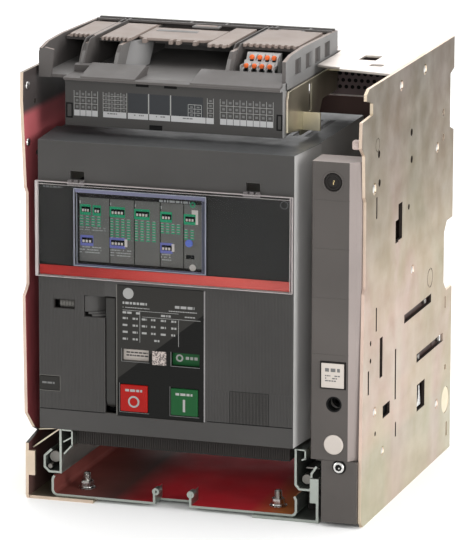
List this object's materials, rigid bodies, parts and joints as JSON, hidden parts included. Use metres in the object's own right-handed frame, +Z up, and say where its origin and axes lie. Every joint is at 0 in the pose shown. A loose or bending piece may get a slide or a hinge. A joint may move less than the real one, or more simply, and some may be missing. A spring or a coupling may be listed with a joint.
{
  "type": "withdrawable air circuit breaker",
  "caption": "Withdrawable air circuit breaker in its fixed cradle, with push buttons, charging lever, hinged trip unit cover, racking screw, shutters and auxiliary terminal box.",
  "frame": {"origin": "middle of the rectangle that the cradle stands on, at its lowest face", "axes": "+X right, +Y back towards the busbar terminals, +Z up; the operator stands at -Y"},
  "size_m": [0.278, 0.271, 0.3635],
  "materials": {
    "zinc_steel": "yellow chromate zinc, satin",
    "pale_steel": "clear zinc, satin",
    "bright_steel": "bright zinc",
    "moulded_brown": "moulded thermoset, matte",
    "silvered_copper": "silver plated copper bar, satin",
    "box_plastic": "moulded, matte",
    "pale_grey_plastic": "moulded, matte",
    "warm_grey_plastic": "moulded, matte",
    "white_plastic": "moulded, satin",
    "cover_plastic": "moulded with fine ribs, matte",
    "dark_plastic": "moulded, matte",
    "clear_plastic": "clear polycarbonate sheet, gloss",
    "glossy_black": "polished panel, gloss",
    "red_plastic": "moulded, satin gloss",
    "green_plastic": "moulded, satin gloss"
  },
  "bodies": {
    "cradle": {"left_side_plate": "zinc_steel", "right_side_plate": "zinc_steel", "right_inner_bracket": "zinc_steel", "base_tray": "zinc_steel", "left_base_stud": "bright_steel", "right_base_stud": "bright_steel", "left_guide_rail": "pale_steel", "right_guide_rail": "pale_steel", "rear_insulating_wall": "moulded_brown", "upper_terminal_1": "silvered_copper", "upper_terminal_2": "silvered_copper", "upper_terminal_3": "silvered_copper", "lower_terminal_1": "silvered_copper", "lower_terminal_2": "silvered_copper", "lower_terminal_3": "silvered_copper", "top_rear_plate": "pale_steel", "terminal_box": "box_plastic", "terminal_box_front": "box_plastic", "terminal_block": "pale_grey_plastic", "terminal_box_bracket": "zinc_steel", "racking_column": "warm_grey_plastic", "racking_column_foot": "warm_grey_plastic", "column_screw": "bright_steel"},
    "key_lock": {"key_lock": "bright_steel"},
    "release_button": {"racking_release_button": "white_plastic"},
    "racking_screw": {"racking_screw": "bright_steel"},
    "position_indicator": {"position_indicator": "white_plastic"},
    "upper_shutter": {"upper_shutter": "moulded_brown"},
    "lower_shutter": {"lower_shutter": "moulded_brown"},
    "breaker": {"front_cover": "cover_plastic", "pole_housing": "dark_plastic", "base_grille": "dark_plastic", "trip_unit": "dark_plastic", "rating_panel": "glossy_black", "lever_pin": "bright_steel", "mechanism_frame": "zinc_steel", "closing_spring": "bright_steel", "racking_nut": "bright_steel", "upper_pole_bar_1": "silvered_copper", "upper_pole_bar_2": "silvered_copper", "upper_pole_bar_3": "silvered_copper", "lower_pole_bar_1": "silvered_copper", "lower_pole_bar_2": "silvered_copper", "lower_pole_bar_3": "silvered_copper", "arc_chute_1": "white_plastic", "arc_chute_2": "white_plastic", "arc_chute_3": "white_plastic"},
    "trip_cover": {"trip_unit_cover": "clear_plastic"},
    "off_button": {"off_button": "red_plastic"},
    "on_button": {"on_button": "green_plastic"},
    "reset_button": {"reset_button": "cover_plastic"},
    "charging_lever": {"charging_lever": "cover_plastic"},
    "spring_pusher": {"spring_pusher": "bright_steel"},
    "position_flag": {"position_flag": "green_plastic"},
    "spring_flag": {"spring_flag": "white_plastic"},
    "contact_shaft": {"main_shaft": "bright_steel", "moving_contact_1": "silvered_copper", "moving_contact_2": "silvered_copper", "moving_contact_3": "silvered_copper"}
  },
  "joints": [
    {"name": "racking_slide", "type": "slide", "parent": "cradle", "child": "breaker", "axis": [0, -1, 0], "range_m": [0, 0.06]},
    {"name": "racking_screw_turn", "type": "hinge", "parent": "cradle", "child": "racking_screw", "pos_m": [0.1173, 0, 0.0989], "axis": [0, -1, 0], "range_deg": [0, 3600]},
    {"name": "indicator_turn", "type": "hinge", "parent": "cradle", "child": "position_indicator", "pos_m": [0.1173, -0.13, 0.0667], "axis": [0, -1, 0], "range_deg": [0, 120]},
    {"name": "upper_shutter_drop", "type": "slide", "parent": "cradle", "child": "upper_shutter", "axis": [0, 0, -1], "range_m": [0, 0.024]},
    {"name": "lower_shutter_drop", "type": "slide", "parent": "cradle", "child": "lower_shutter", "axis": [0, 0, -1], "range_m": [0, 0.024]},
    {"name": "release_press", "type": "slide", "parent": "cradle", "child": "release_button", "axis": [0, 1, 0], "range_m": [0, 0.004], "stiffness_N_per_m": 600},
    {"name": "key_turn", "type": "hinge", "parent": "cradle", "child": "key_lock", "pos_m": [0.1154, -0.12, 0.2742], "axis": [0, 1, 0], "range_deg": [0, 90]},
    {"name": "trip_cover_hinge", "type": "hinge", "parent": "breaker", "child": "trip_cover", "pos_m": [-0.0197, -0.1336, 0.2616], "axis": [-1, 0, 0], "range_deg": [0, 100]},
    {"name": "off_press", "type": "slide", "parent": "breaker", "child": "off_button", "axis": [0, 1, 0], "range_m": [0, 0.003], "stiffness_N_per_m": 800},
    {"name": "on_press", "type": "slide", "parent": "breaker", "child": "on_button", "axis": [0, 1, 0], "range_m": [0, 0.003], "stiffness_N_per_m": 800},
    {"name": "reset_press", "type": "slide", "parent": "breaker", "child": "reset_button", "axis": [0, 1, 0], "range_m": [0, 0.0025], "stiffness_N_per_m": 800},
    {"name": "charging_pull", "type": "hinge", "parent": "breaker", "child": "charging_lever", "pos_m": [-0.0649, -0.124, 0.088], "axis": [1, 0, 0], "range_deg": [0, 75]},
    {"name": "spring_push", "type": "slide", "parent": "breaker", "child": "spring_pusher", "axis": [0, 0, -1], "range_m": [0, 0.012], "deforming": ["closing_spring"]},
    {"name": "spring_flag_slide", "type": "slide", "parent": "breaker", "child": "spring_flag", "axis": [0, 0, 1], "range_m": [0, 0.012]},
    {"name": "shaft_turn", "type": "hinge", "parent": "breaker", "child": "contact_shaft", "pos_m": [-0.0197, -0.038, 0.128], "axis": [-1, 0, 0], "range_deg": [0, 14]},
    {"name": "position_flag_slide", "type": "slide", "parent": "breaker", "child": "position_flag", "axis": [0, 0, 1], "range_m": [0, 0.012]}
  ],
  "couplings": [
    {"joint": "racking_screw_turn", "follows": "racking_slide", "rad_per_m": 1047.2},
    {"joint": "indicator_turn", "follows": "racking_slide", "rad_per_m": 34.906},
    {"joint": "upper_shutter_drop", "follows": "racking_slide", "ratio": 0.4},
    {"joint": "lower_shutter_drop", "follows": "racking_slide", "ratio": 0.4},
    {"joint": "spring_push", "follows": "charging_pull", "m_per_rad": 0.009167},
    {"joint": "spring_flag_slide", "follows": "charging_pull", "m_per_rad": 0.009167},
    {"joint": "position_flag_slide", "follows": "shaft_turn", "m_per_rad": 0.04911}
  ]
}
